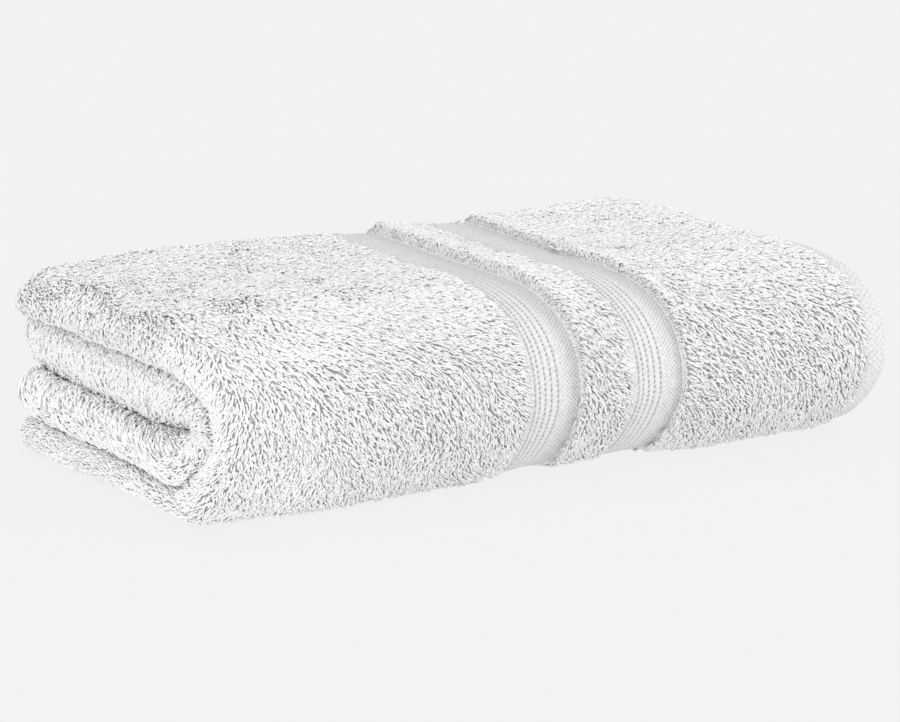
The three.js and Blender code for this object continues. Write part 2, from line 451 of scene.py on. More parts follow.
def cloth_places(name):
    """Columns of the places along the four layers and three turns, from the outer hem to the inner hem,
    on one side of the cloth."""
    sign, half = SIDES[name]
    columns = {key: [] for key in COLUMNS}

    def add(**values):
        count = len(np.atleast_1d(values["layer"]))
        for key, column in columns.items():
            column.append(np.broadcast_to(values.get(key, 0.0), count))

    for segment in range(LAYERS):
        leftwards = segment % 2 == 0
        up = 1 if leftwards else -1
        middle = OUTER_LAYER - segment
        x = run_places(segment)
        at_hem = (x >= hem_end(segment) - HEM_WIDTH) & (segment in (0, LAYERS - 1))
        hem_half = HEM_PLY_HALF if half == LAYER_HALF else -HEM_PLY_HALF
        from_middle = np.where(at_hem, HEM_CENTRE + hem_half, half - run_depth(name, segment, x))
        layer = middle + up * sign * from_middle
        surface = float(name == "face" and segment == 0)
        add(x=x[::up], layer=layer[::up], middle=middle, surface=surface)
        if segment == LAYERS - 1:
            break
        outside = name == ("face" if leftwards else "back")
        reach = 0.5 + up * sign * (half - (GROUND_DEPTH if outside else 0.0))
        angle = np.linspace(np.pi / 2, -np.pi / 2, TURN_POINTS)
        add(
            turn=1 + segment,
            angle=angle if outside else 0.0,
            middle=middle - 0.5 + 0.5 * np.sin(angle),
            layer=middle - 0.5 + reach * np.sin(angle),
            middle_out=0.5 * np.cos(angle),
            out=reach * np.cos(angle),
        )
    return {key: np.concatenate(column) for key, column in columns.items()}


def cloth_line(places, path, swell):
    """x and layer of one side of the cloth at one place of the path. A swell of 0 is the middle between its
    plies, and 1 is the side itself."""
    thickness = layer_thickness(path)
    radius = HALF_TURN * thickness
    out = lerp(places["middle_out"], places["out"], swell) * thickness
    x, layer = places["x"].copy(), places["layer"].copy()
    for number, turn in enumerate(TURNS, start=1):
        at = places["turn"] == number
        full = 1 + swell * (fullness(turn, places["angle"][at], path) - 1)
        x[at] = turn_end(turn, path) + turn.side * (out[at] * full - radius)
        layer[at] = turn.centre + (layer[at] - turn.centre) * full
    raised = places["surface"] * bulge(x, path)
    return x, lerp(places["middle"], layer + raised, swell)


def terry_cloth():
    """The whole cloth as one closed sheet, with the gap between its plies open at the back and the hems."""
    path, distance = path_table(LAYERS)
    count = int(distance[-1] / RING_SPACING)
    rings = np.interp(np.linspace(0, distance[-1], count + 1), distance, path)
    rings = np.append(rings[rings < LAST_RING], [PLY_GAP_END, PATH_END])
    gap_end = len(rings) - 2
    steps = [(place, 1.0, 0.0) for place in rings]
    for k in range(1, NOSE_RINGS + 1):
        angle = np.pi / 2 * k / NOSE_RINGS
        swell = max(math.cos(angle), NOSE_TIP)
        steps.append((PATH_END, swell, (NOSE_DEPTH - NOSE_PILE) * math.sin(angle)))

    points = []
    index = {}
    total = 0
    for name in SIDES:
        places = cloth_places(name)
        rows = []
        for path, swell, push in steps if name in ("face", "back") else steps[:gap_end + 1]:
            x, layer = cloth_line(places, path, swell)
            rows.append(section_point(x, np.full_like(x, path), layer, push))
        count = len(rows) * len(x)
        index[name] = total + np.arange(count).reshape(len(rows), len(x))
        points += rows
        total += count

    face, face_gap, back_gap, back = index.values()
    between = [
        np.stack([face[0], face_gap[0]]),
        np.stack([back_gap[0], back[0]]),
        np.stack([face_gap[gap_end], back_gap[gap_end]]),
    ]
    faces = [grid_faces(face), grid_faces(face_gap, True), grid_faces(back_gap), grid_faces(back, True)]
    faces += [grid_faces(pair, True) for pair in between]
    faces.append(grid_faces(np.stack([face[-1], back[-1]])))
    for end, flip in ((0, True), (-1, False)):
        walls = [
            np.stack([face[:gap_end + 1, end], face_gap[:, end]], axis=1),
            np.stack([back_gap[:, end], back[:gap_end + 1, end]], axis=1),
            np.stack([face[gap_end + 1:, end], back[gap_end + 1:, end]], axis=1),
        ]
        faces += [grid_faces(wall, flip) for wall in walls]
        corner = [side[gap_end, end] for side in index.values()]
        corner += [back[gap_end + 1, end], face[gap_end + 1, end]]
        faces.append(np.array([corner[::-1] if flip else corner]))
    return mesh_object("terry_cloth", np.concatenate(points), faces)


# Flat woven bands

ROW_SPACING = {"seen": 0.62, "under": 5.0}
SEEN_TO_PATH = 3.1
BAND_THICKNESS = 1.5
BAND_INSET = 0.3
BAND_GROOVES = (5.1, 7.6, 10.7, 14.0, 17.5)
GROOVE_HALF = 0.9
GROOVE_DEPTH = 0.7
GROOVE_DASHED = 0.4
RIB_HEIGHT = 0.3
DASH_LENGTH = 2.45
DASH_SLANT = 0.45
DASH_UNEVEN = 0.9
STITCH_HEIGHT = 0.24
WAFFLE = {"start": 20.8, "end": 29.2, "pitch": 2.2, "height": 0.22, "step": 0.6}
CORDS_MIDDLE = 11.5
CORDS_HALF = 8.3
FINE_WEAVE = {"end": 4.4, "pitch": 1.6, "height": 0.16, "rows": 1.5}
PLAIN_COLUMNS = (0, 0.4, 0.9, 1.4, 1.9, 2.4, 2.9, 3.4)
COLUMNS_BEFORE_WAFFLE = (19.2, 20.3, WAFFLE["start"])
COLUMNS_AFTER_WAFFLE = (29.0, 29.5)
NOSE_ROWS = 7
NOSE_END = 1.8
# Tone of a plain face in the painted shade of the weave's relief
PLAIN_TONE = 0.9
WANDER = 0.5
WANDER_LENGTH = 45
WANDER_SEED = 3


def surface_rows():
    """Places of the path for the rows of a woven strip, close together where they are seen, and how far
    each lies from the upper back."""
    path, distance = path_table(OUTER_SURFACE)
    seen = np.interp(SEEN_TO_PATH, path, distance)
    along = np.concatenate([
        np.arange(0, seen, ROW_SPACING["seen"]),
        np.arange(seen, distance[-1], ROW_SPACING["under"]),
        distance[-1:],
    ])
    return np.interp(along, distance, path), along


def wave(place, period):
    return np.sin(2 * np.pi * place / period)


def band_relief(across, along):
    """Height of a band's weave in millimetres: cords between dashed grooves, then a waffle."""
    uneven_dash = DASH_UNEVEN * noise(along, across, size=5, seed=71)
    dash = 0.5 + 0.5 * np.cos(2 * np.pi * (along + DASH_SLANT * across) / DASH_LENGTH + uneven_dash)
    height = np.zeros(np.broadcast(across, along).shape)
    rows = np.pi * along / ROW_SPACING["seen"] / FINE_WEAVE["rows"]
    fine = wave(across, FINE_WEAVE["pitch"]) * np.sin(rows)
    height += FINE_WEAVE["height"] * fine * (1 - eased(across, FINE_WEAVE["end"] - 1, FINE_WEAVE["end"]))
    first, last = BAND_GROOVES[0], BAND_GROOVES[-1]
    corded = eased(across, first - 1, first) * (1 - eased(across, last, last + 1))
    height += (RIB_HEIGHT - STITCH_HEIGHT * dash) * corded
    for number, groove in enumerate(BAND_GROOVES):
        shape = 1 - eased(np.abs(across - groove), 0, GROOVE_HALF)
        depth = (1 - GROOVE_DASHED) + GROOVE_DASHED * (dash if number else 0.5)
        height -= GROOVE_DEPTH * shape * depth
    start, end, pitch = WAFFLE["start"], WAFFLE["end"], WAFFLE["pitch"]
    waffle = wave(across, pitch) * wave(along, pitch)
    height += WAFFLE["height"] * waffle * eased(across, start, start + 1) * (1 - eased(across, end - 1, end))
    return height


def band_columns():
    """Places across a band for its columns of points, close together at the grooves and the waffle."""
    around = np.array([-GROOVE_HALF, -GROOVE_HALF / 2, 0, GROOVE_HALF / 2, GROOVE_HALF])
    ribs = np.concatenate([groove + around for groove in BAND_GROOVES])
    waffle = np.arange(WAFFLE["start"] + WAFFLE["step"], WAFFLE["end"], WAFFLE["step"])
    return np.concatenate([PLAIN_COLUMNS, ribs, COLUMNS_BEFORE_WAFFLE, waffle, COLUMNS_AFTER_WAFFLE])


def relief_painted_shade(relief):
    """Painted shade of a weave's relief: a tone from 0 in its deepest grooves to 1 on its highest threads.
    """
    return np.clip(PLAIN_TONE + relief / GROOVE_DEPTH, 0, 1)


def edge_wander(along, seed):
    """Small sideways wander of a woven edge as it runs round the bundle, in millimetres."""
    return WANDER * noise(along, 0 * along, WANDER_LENGTH, int(abs(seed)) + WANDER_SEED)


def woven_band(band):
    path, along = surface_rows()
    nose = np.linspace(0, NOSE_END, NOSE_ROWS)[1:]
    turned = np.append(np.zeros(len(path)), nose)
    path = np.append(path, np.full(len(nose), PATH_END))
    along = np.append(along, along[-1] + nose * NOSE_DEPTH)

    width = band.right - band.left
    across = band_columns()[::-1]
    thickness = layer_thickness(path)[:, None]
    relief = band_relief(across, along[:, None])
    upper = band_depth(across / width, path[:, None]) - relief / thickness
    under_across = np.array([BAND_INSET, width / 3, 2 * width / 3, width - BAND_INSET])
    under = band_depth(under_across / width, path[:, None]) + BAND_THICKNESS / thickness
    columns = np.concatenate([across, under_across])
    x = band.left + columns[None, :] + edge_wander(along[:, None], band.left)
    out = OUTER_SURFACE - np.concatenate([upper, under], axis=1)
    layer = OUTER_LAYER + (out - OUTER_LAYER) * np.cos(turned)[:, None]
    push = ((out - OUTER_LAYER) / LAYER_HALF * NOSE_DEPTH) * np.sin(turned)[:, None]
    loops = section_point(x, np.broadcast_to(path[:, None], x.shape), layer, push)
    tone = np.concatenate([relief_painted_shade(relief), np.ones(under.shape)], axis=1)
    return slab(band.name, loops, columns, along, tone)


# Hems and selvedges

HEM_HALF = 0.11
HEM_NOSE = 1.2
HEM_LOWER = 0.012
HEM_DOTS = {"across": 1.9, "along": 3.3, "height": 0.11}
# How strongly the dips between the hem's dots are painted with shade
HEM_TONE = 2
HEM_UNDER_PILE = 2
HEM_BEYOND = 0.6
HEM_COLUMNS = {"fine": 30, "plain": 8, "under": 5, "nose": 7}
HEM_PLAIN_ROWS = 6
SELVEDGE_HALF = 0.9
SELVEDGE_STEP = 3.0
SELVEDGE_OUT = 2.6
SELVEDGE_ROOT = -4
SELVEDGE_INSET = 4
SELVEDGE_POINTS = 6
SELVEDGE_WAVE = 0.5


def hem_relief(across, along):
    row = wave(across, HEM_DOTS["across"])
    dots = np.sin(2 * np.pi * along / HEM_DOTS["along"] + np.pi * np.floor(across / HEM_DOTS["across"]))
    return HEM_DOTS["height"] * (0.5 + 0.5 * row) * dots


def hem(name, middle, ply, end, fine):
    """The flat woven hem of one ply, a sleeve that is round at its end."""
    path, along = surface_rows()
    if not fine:
        kept = np.append(np.arange(0, len(path) - 1, HEM_PLAIN_ROWS), len(path) - 1)
        path, along = path[kept], along[kept]
    start, nose_x = end - HEM_WIDTH - HEM_UNDER_PILE, end - HEM_NOSE
    upper_x = np.linspace(nose_x, start, HEM_COLUMNS["fine" if fine else "plain"])
    under_x = np.linspace(start, nose_x, HEM_COLUMNS["under"])
    nose = np.linspace(-np.pi / 2, np.pi / 2, HEM_COLUMNS["nose"])[1:-1]
    x = np.concatenate([upper_x, under_x, nose_x + HEM_NOSE * np.cos(nose)])
    side = np.concatenate([np.ones(len(upper_x)), -np.ones(len(under_x)), np.sin(nose)])
    thickness = layer_thickness(path)[:, None]
    relief = np.where(side == 1, hem_relief(x, along[:, None]), 0)
    layer = middle + ply * HEM_CENTRE + side * HEM_HALF + relief / thickness
    if middle == OUTER_LAYER and ply > 0:
        layer = layer - HEM_LOWER
    wander = edge_wander(along[:, None], middle)
    beyond = np.where((path == 0) | (path == PATH_END), HEM_BEYOND, 0)[:, None]
    loops = section_point(x + wander, np.broadcast_to(path[:, None], layer.shape), layer, beyond)
    return slab(name, loops, x, along, relief_painted_shade(HEM_TONE * relief))


def beside_line(x, layer, distance, thickness, along, across):
    """x and layer at places along a line through the fold and across it, in millimetres."""
    at_x, at_layer = np.interp(along, distance, x), np.interp(along, distance, layer)
    way_x = np.interp(along + 0.5, distance, x) - np.interp(along - 0.5, distance, x)
    way_layer = np.interp(along + 0.5, distance, layer) - np.interp(along - 0.5, distance, layer)
    way_layer = way_layer * thickness
    size = np.maximum(np.hypot(way_x, way_layer), 1e-6)
    return at_x - across * way_layer / size, at_layer + across * way_x / size / thickness


def edge_surface(ply):
    """Surface across the edge of one ply at the upper back: u runs along the edge from the outer hem to
    the inner hem, and v across the ply."""
    thickness = float(layer_thickness(0.0))
    names = ("face", "face gap") if ply > 0 else ("back gap", "back")
    lines = [cloth_line(cloth_places(name), 0.0, 1.0) for name in names]
    x = (lines[0][0] + lines[1][0]) / 2
    layer = (lines[0][1] + lines[1][1]) / 2
    distance = running_total(np.hypot(np.diff(x), np.diff(layer) * thickness))

    def place(u, v, height):
        here_x, here_layer = beside_line(x, layer, distance, thickness, u, v)
        return section_point(here_x, np.zeros_like(here_x), here_layer, height)

    return place, distance[-1]


def selvedge(name, ply):
    """The flat woven edge of one ply, which follows the back-and-forth fold."""
    surface, length = edge_surface(ply)
    along = np.linspace(SELVEDGE_INSET, length - SELVEDGE_INSET, int(length / SELVEDGE_STEP))
    angle = np.linspace(0, np.pi, SELVEDGE_POINTS)
    across = np.concatenate([[-SELVEDGE_HALF], -SELVEDGE_HALF * np.cos(angle), [SELVEDGE_HALF]])
    out = np.concatenate([[SELVEDGE_ROOT], SELVEDGE_OUT + SELVEDGE_HALF * np.sin(angle), [SELVEDGE_ROOT]])
    wander = SELVEDGE_WAVE * noise(along, 0 * along, size=22, seed=11 + ply)[:, None]
    u, v = np.broadcast_arrays(along[:, None], across[None, :] + wander)
    loops = surface(u, v, np.broadcast_to(out, u.shape))
    return slab(name, loops, out, along, np.ones(u.shape))


# Strands of the pile. A strand's places along it and heights are shares of its length and lift, and its
# first corner runs along its crest and the others along its flanks.

# The crest and flank columns are painted shade: a strand's tone is darker at its root and along its flanks
# than on its crest
LOOP = table(
    "along height radius crest flank",
    (0.0, 0.5, 0.0, 0.5, 0.5),
    (0.3, 1.95, 0.62, 0.9, 0.4),
    (0.72, 2.2, 0.66, 1.0, 0.45),
    (1.0, 1.75, 0.0, 0.85, 0.85),
)
FILLING = table(
    "along height radius crest flank",
    (0.0, 0.6, 0.0, 0.5, 0.5),
    (0.5, 1.8, 0.64, 0.9, 0.4),
    (1.0, 1.4, 0.0, 0.8, 0.8),
)
STRAND_SIDES = 3
STRAND_LENGTH = (4.0, 6.6)
STRAND_LIFT = (0.66, 1.26)
STRAND_WIDTH = (0.8, 1.15)
STRAND_SHADE = (-0.34, 0.14)
STRAND_WOBBLE = 0.42
JITTER = 0.38


def scatter(u_range, v_range, spacing, rng):
    """Jittered places on a staggered grid."""
    u, v = np.meshgrid(np.arange(*u_range, spacing), np.arange(*v_range, spacing))
    u[1::2] += spacing / 2
    jitter = JITTER * spacing
    u = u + rng.uniform(-jitter, jitter, u.shape)
    v = v + rng.uniform(-jitter, jitter, v.shape)
    return u.ravel(), v.ravel()


def combed(degrees, spread, rng):
    """Angles in radians, each turned a little at random."""
    return np.radians(degrees) + rng.normal(0, spread, len(degrees))


def strands(surface, u, v, angle, rng, size=1.0, lift=1.0, stretch=1.0, shape=LOOP, painted_fill=0.0):
    """Points, tones and faces of one tapered strand at each place, combed in the direction of its angle."""
    count = len(u)
    length = stretch * size * rng.uniform(*STRAND_LENGTH, count)
    grow = lift * size * rng.uniform(*STRAND_LIFT, count)
    shade = rng.uniform(*STRAND_SHADE, count)
    sideways = np.zeros(count)
    lines, normals = [], []
    for row in shape:
        sideways = sideways + (STRAND_WOBBLE * rng.normal(0, 1, count) * size if row.along else 0)
        at_u = u + (row.along * length * np.cos(angle) - sideways * np.sin(angle))
        at_v = v + (row.along * length * np.sin(angle) + sideways * np.cos(angle))
        height = row.height * grow
        here = surface(at_u, at_v, height)
        lines.append(here)
        normals.append(surface(at_u, at_v, height + 1) - here)
    # Tones are painted shade, darker at the root and on the flanks than on the crest, with a random shade
    # for each strand
    points, tones = [], []
    for k, row in enumerate(shape):
        if row.radius == 0:
            points.append(lines[k])
            tones.append(np.clip(row.crest + shade, 0, 1))
            continue
        way = lines[k + 1] - lines[k - 1]
        way /= np.linalg.norm(way, axis=1, keepdims=True)
        side = np.cross(way, normals[k])
        side /= np.linalg.norm(side, axis=1, keepdims=True)
        up = np.cross(side, way)
        radius = (row.radius * size * rng.uniform(*STRAND_WIDTH, count))[:, None]
        for corner in range(STRAND_SIDES):
            round_angle = 2 * np.pi * (corner / STRAND_SIDES) + np.pi / 2
            points.append(lines[k] + radius * (math.cos(round_angle) * side + math.sin(round_angle) * up))
            tones.append(np.clip((row.flank if corner else row.crest) + shade, 0, 1))
    # Painted fill light: tones lifted towards white where the pile lies in shade
    tones = lerp(np.stack(tones, axis=1), 1, np.reshape(painted_fill, (-1, 1)))
    return np.stack(points, axis=1).reshape(-1, 3), tones.ravel(), strand_faces(count, len(shape) - 2)


def strand_faces(count, rings):
    """Triangles of the strands: a point at each end and rings of three between."""
    tip = 1 + rings * STRAND_SIDES
    faces = []
    for k in range(STRAND_SIDES):
        after = (k + 1) % STRAND_SIDES
        faces.append([0, 1 + after, 1 + k])
        for ring in range(rings - 1):
            here = 1 + ring * STRAND_SIDES
            there = here + STRAND_SIDES
            faces.append([here + k, here + after, there + after])
            faces.append([here + k, there + after, there + k])
        faces.append([tip - STRAND_SIDES + k, tip - STRAND_SIDES + after, tip])
    starts = np.arange(count)[:, None, None] * (tip + 1)
    return (np.array(faces)[None] + starts).reshape(-1, 3)


def pile_piece(name, parts):
    """One mesh of strands from parts, each with the strands' points, tones and faces."""
    points, tones, faces = zip(*parts)
    starts = np.cumsum([0] + [len(part) for part in points])
    points = np.concatenate(points)
    points[:, 2] = np.maximum(points[:, 2], 0)
    faces = np.concatenate([part + start for part, start in zip(faces, starts)])
    return mesh_object(name, points, [faces], tone=np.concatenate(tones))


# Pile of the outer layer. Angles are in degrees, from +X towards the front and down.

COMB = table(
    "path front corner lobe inner",
    (0, 50, 60, 150, 170),
    (1, 45, 60, 140, 165),
    (1.6, 38, 55, 130, 150),
    (2, 55, 80, 125, 200),
    (2.5, 78, 105, 130, 260),
    (3, 88, 110, 120, 275),
    (4, 90, 90, 90, 280),
)
EDGE_ROW = 3.0
EDGE_ANGLE = 10
TOP_CURL = 3.0
CORNER_COMB_X = (-150, -100)
LOBE_COMB_PAST = (-4, 10)
LOBE_CURL_PAST = (-4, 6)
OUTER_SPREAD = 0.24

# Patches of pile, by their places along the bundle and over its section in millimetres, where 480 is past
# its end. Beside names the band on a patch's left whose step it covers too.
LEFT = (-214, -24.6)
TOP = (0.8, 140)
FRONT = (140, 262)
WHOLE = (0.8, 262)
UNDER = (262, 480)
PILE = table(
    "name u v spacing filling size lift beside",
    ("pile_top_left", LEFT, TOP, 1.66, 2.0, 0.9, 1.1, None),
    ("pile_front_left", LEFT, FRONT, 1.6, 1.75, 1, 0.88, None),
    ("pile_middle", (5.9, 30.9), WHOLE, 1.6, 1.9, 1, 1, "band_left"),
    ("pile_right", (61.4, 165.5), WHOLE, 1.66, 2.0, 1, 1, "band_right"),
    ("pile_low_lobe", (-214, -160), UNDER, 2.0, 2.0, 0.9, 0.9, None),
    ("pile_under", (-160, -25), UNDER, 4.0, None, 1.3, 0.62, None),
    ("pile_under", (6.5, 30.5), UNDER, 4.0, None, 1.3, 0.62, None),
    ("pile_under", (62, 165), UNDER, 4.0, None, 1.3, 0.62, None),
)
TOP_TO_PATH = (0.9, 1.6)
TOP_LIFT = 0.1
TOP_SHORTER = 0.15
SHOULDER_LIFT = 0.25
# Painted fill light: the pile's tones lifted towards white on the front-left corner, off the top, where its
# gaps lie in shade
CORNER_X = (-140, -75)
CORNER_PAINTED_FILL = 0.7


def uneven(u, v):
    """Uneven height of the pile over its plain level, in layers."""
    wide, small = noise(u, v, size=24, seed=21), noise(u, v, size=9, seed=22)
    return np.maximum(0.015 + 0.045 * wide + 0.035 * small, -0.02)


def turn_surface(turn, layer):
    """Surface of the pile's ground round a turn. u is X on the upper run and goes on round the turn, and v
    runs over the section from the upper back, measured at the given layer."""
    path_places, distance = path_table(layer)

    def place(u, v, height):
        path = np.interp(v, distance, path_places)
        thickness = layer_thickness(path)
        past = past_run(turn, path, u)
        depth = PILE_DEPTH - height / thickness
        if turn == OUTER_TURN:
            depth = depth - uneven(u, v)
        if turn == INNER_TURN:
            depth = depth - mouth_filling(past, path) / thickness
        x, layer = turn_place(turn, past, path, depth)
        if turn == OUTER_TURN:
            layer = layer + np.where(past < 0, bulge(x, path), 0)
        return section_point(x, path, layer, np.maximum(-v, 0))

    return place, path_places, distance


def outer_angle(u, past, path, v):
    """Direction in which the pile of the outer layer is combed."""
    front, corner, lobe = (from_table(COMB, path, column) for column in ("front", "corner", "lobe"))
    angle = lerp(corner, front, eased(u, *CORNER_COMB_X))
    angle = lerp(angle, lobe, eased(past, *LOBE_COMB_PAST))
    curl = lerp(1, TOP_CURL, 1 - eased(path, 0.9, 1.7)) + eased(past, *LOBE_CURL_PAST)
    angle = angle + 24 * noise(u, v, size=26, seed=31)
    angle = angle + 14 * curl * noise(u, v, size=9, seed=32)
    angle = angle + 9 * curl * noise(u, v, size=4, seed=33)
    return np.where(v < EDGE_ROW, EDGE_ANGLE, angle)


def outer_strands(patch, spacing, shape, rng):
    surface, path_places, distance = turn_surface(OUTER_TURN, OUTER_SURFACE)
    u, v = scatter(patch.u, (patch.v[0], min(patch.v[1], distance[-1])), spacing, rng)
    path = np.interp(v, distance, path_places)
    past = past_run(OUTER_TURN, path, u)
    keep = past < turn_length(path) - 1
    u, v, past, path = u[keep], v[keep], past[keep], path[keep]
    angle = combed(outer_angle(u, past, path, v), OUTER_SPREAD, rng)
    on_top = 1 - eased(path, *TOP_TO_PATH)
    on_shoulder = eased(path, 0.8, 1.1) * (1 - eased(path, 1.5, 1.9))
    lift = patch.lift * (1 + TOP_LIFT * on_top) * (1 + SHOULDER_LIFT * on_shoulder)
    stretch = 1 - TOP_SHORTER * on_top
    # Painted fill light on the front-left corner
    painted_fill = CORNER_PAINTED_FILL * (1 - eased(u, *CORNER_X)) * (1 - on_top)
    return strands(surface, u, v, angle, rng, patch.size, lift, stretch, shape, painted_fill)


# Pile of the inner lobes, which goes a little way into the hollow and the slot and fills their mouth

INNER_LAYERS = 1.5
INNER_U = (-250, -150)
HOLLOW_PATH = 1.1
INTO_HOLLOW = 16
INTO_SLOT = 3
MOUTH_FILLED = 0.75
MOUTH_FROM = 0.65
SLOT_LIFT = 0.9
SLOT_COMB = {"upper": 60, "lower": 335}
INNER_PILE = [(1.6, LOOP), (1.8, FILLING)]
INNER_SPREAD = 0.35
# Painted fill light on the inner lobes, most on the lower lobe, which lies in the shade of the upper one
UPPER_LOBE_PAINTED_FILL = 0.4
LOWER_LOBE_PAINTED_FILL = 0.9
LOWER_LOBE_STRETCH = 1.4


def mouth_filling(past, path):
    """How far the pile comes together at the left mouth of the hollow, in millimetres."""
    half = (HOLLOW_HALF_HEIGHT - SLOT_HALF_HEIGHT) * slot_widening(path)
    return MOUTH_FILLED * half * eased(past / turn_length(path), MOUTH_FROM, 1.0)


def inner_strands(spacing, shape, rng):
    """Strands round the lower lobe of each half and a little way in between the halves."""
    surface, path_places, distance = turn_surface(INNER_TURN, INNER_LAYERS)
    u, v = scatter(INNER_U, (TOP[0], distance[-1] - 0.5), spacing, rng)
    path = np.interp(v, distance, path_places)
    past = past_run(INNER_TURN, path, u)
    inwards = np.where(np.abs(path - 2) < HOLLOW_PATH, INTO_HOLLOW, INTO_SLOT)
    keep = (past > 1) & (past < turn_length(path) + inwards)
    u, v, path, past = u[keep], v[keep], path[keep], past[keep]
    outward = np.where(path < 2, SLOT_COMB["upper"], SLOT_COMB["lower"])
    near_slot = eased(past / turn_length(path), 0.55, 0.9) * eased(np.abs(path - 2), 0.1, 0.5)
    angle = lerp(from_table(COMB, path, "inner"), outward, near_slot)
    angle = angle + 26 * noise(u, v, size=18, seed=41) + 18 * noise(u, v, size=6, seed=42)
    angle = combed(angle, INNER_SPREAD, rng)
    on_lower = eased(path, 2, 2.4)
    lift = 1 + SLOT_LIFT * near_slot
    stretch = lerp(1, LOWER_LOBE_STRETCH, on_lower)
    # Painted fill light, more on the lower lobe
    painted_fill = lerp(UPPER_LOBE_PAINTED_FILL, LOWER_LOBE_PAINTED_FILL, on_lower)
    return strands(surface, u, v, angle, rng, 1.0, lift, stretch, shape, painted_fill)


# Pile of the steps beside the bands, of the right turn, of the fold at the lower back and of the cut edges

WALL = {"back": 1.0, "height": 6.0, "top": 0.08, "lean": 0.4, "start": 5, "spacing": 1.2}
RIGHT_LAYERS = 2.5
RIGHT_U = (166, 196)
SPARSE = 2.3
NOSE_TURN_SPACING = 1.7
NOSE_BESIDE_HEM = 2.5
NOSE_CURL = 0.9
EDGE = {"start": 14, "end": 16, "half": 0.6, "squeeze": 0.5, "beside": 1.3}


def wall_strands(band, rng):
    """Strands on the step from a band up to the pile beside it. u is how far up the step they stand, and v
    runs over the section."""
    path_places, distance = path_table(OUTER_SURFACE)

    def place(u, v, height):
        path = np.interp(v, distance, path_places)
        rise = BAND_SUNK["right"] + bulge(np.full_like(u, band.right + BULGE_RISE), path) - WALL["top"]
        layer = OUTER_SURFACE - BAND_SUNK["right"] + rise * u / WALL["height"]
        return section_point(band.right + WALL["back"] - height * WALL["lean"], path, layer)

    up = (0.1 * WALL["height"], 0.8 * WALL["height"])
    u, v = scatter(up, (WALL["start"], FRONT[1]), WALL["spacing"], rng)
    angle = combed(15 + 40 * noise(u, v, size=8, seed=61), 0.25, rng)
    return strands(place, u, v, angle, rng, size=0.55, lift=0.9)


def right_strands(rng):
    """Strands on the turn between the hems."""
    surface, _, distance = turn_surface(RIGHT_TURN, RIGHT_LAYERS)
    u, v = scatter(RIGHT_U, (TOP[0], distance[-1] - 0.5), SPARSE, rng)
    angle = combed(80 + 30 * noise(u, v, size=18, seed=51), 0.3, rng)
    return strands(surface, u, v, angle, rng, size=1.15)


def nose_strands(rng):
    """Strands round the fold at the lower back, with more of them round the turns, where they spread. u
    runs along the fold from the outer hem to the inner hem, and v runs round it."""
    thickness = float(layer_thickness(PATH_END))
    half = LAYER_HALF * thickness
    places = cloth_places("face")
    x, layer = cloth_line(places, PATH_END, 0.0)
    distance = running_total(np.hypot(np.diff(x), np.diff(layer) * thickness))
    turning = (places["turn"] > 0).astype(float)

    def surface(u, v, height):
        angle = v / half
        across = (half - PILE_DEPTH * thickness + height) * np.cos(angle)
        here_x, here_layer = beside_line(x, layer, distance, thickness, u, across)
        push = (NOSE_DEPTH - NOSE_PILE + height) * np.sin(angle)
        return section_point(here_x, np.full_like(here_x, PATH_END), here_layer, push)

    ends = HEM_WIDTH - NOSE_BESIDE_HEM, distance[-1] - HEM_WIDTH + NOSE_BESIDE_HEM
    parts = []
    for spacing, turns_only in ((SPARSE, False), (NOSE_TURN_SPACING, True)):
        u, v = scatter(ends, (0.5, np.pi * half - 0.5), spacing, rng)
        at = np.interp(u, distance, x)
        keep = (np.interp(u, distance, turning) > 0.5) | (not turns_only)
        for band in BANDS:
            keep &= (u > distance[-1] / LAYERS) | (at < band.left - 2) | (at > band.right + 1)
        u, v = u[keep], v[keep]
        angle = NOSE_CURL * noise(u, v, size=12, seed=81) + rng.normal(0, 0.45, len(u))
        parts.append(strands(surface, u, v, angle, rng, size=1.0, lift=0.85))
    return parts


def edge_strands(rng):
    """Strands that cover the cut of each ply at the upper back, on both sides of its selvedge."""
    parts = []
    for ply in (1, -1):
        surface, length = edge_surface(ply)
        ends = (EDGE["start"], length - EDGE["end"])
        for side in (-1, 1):
            u, v = scatter(ends, (-EDGE["half"], EDGE["half"]), SPARSE, rng)
            v = v * EDGE["squeeze"] + side * EDGE["beside"]
            angle = np.where(rng.random(len(u)) < 0.5, 0, np.pi) + rng.normal(0, 0.15, len(u))
            parts.append(strands(surface, u, v, angle, rng, size=0.75, lift=1.4))
    return parts


def make_pile():
    """All pieces of the pile, seeded so that every run is the same."""
    rng = np.random.default_rng(SEED)
    pieces = {}
    for patch in PILE:
        parts = pieces.setdefault(patch.name, [])
        parts.append(outer_strands(patch, patch.spacing, LOOP, rng))
        if patch.filling:
            parts.append(outer_strands(patch, patch.filling, FILLING, rng))
        parts += [wall_strands(band, rng) for band in BANDS if band.name == patch.beside]
    pieces["pile_inner_lobes"] = [inner_strands(spacing, shape, rng) for spacing, shape in INNER_PILE]
    pieces["pile_ends"] = [right_strands(rng)] + nose_strands(rng) + edge_strands(rng)
    return [pile_piece(name, parts) for name, parts in pieces.items()]


# Materials

BACKGROUND = (0.888, 0.888, 0.888, 1)
PILE_TIP = (0.95, 0.94, 0.944, 1)
# Painted shade: the colour of the strands' roots and flanks, darker than the white cotton of their crests
PILE_PAINTED_SHADE = (0.66, 0.653, 0.656, 1)
GROUND_LIGHT = (0.9, 0.892, 0.895, 1)
# Painted shade between the loops of the ground, against their pale cotton
GROUND_PAINTED_SHADE = (0.72, 0.712, 0.715, 1)
WEAVE_LIGHT = (0.78, 0.772, 0.775, 1)
# Dark end of the weave: painted shade in its grooves and dips, and the darker random grain
WEAVE_DARK = (0.27, 0.265, 0.268, 1)
FLOOR_COLOR = (0.8, 0.8, 0.8, 1)
COTTON = {"Roughness": 0.92, "Specular IOR Level": 0.2, "Sheen Weight": 0.12, "Sheen Roughness": 0.5}


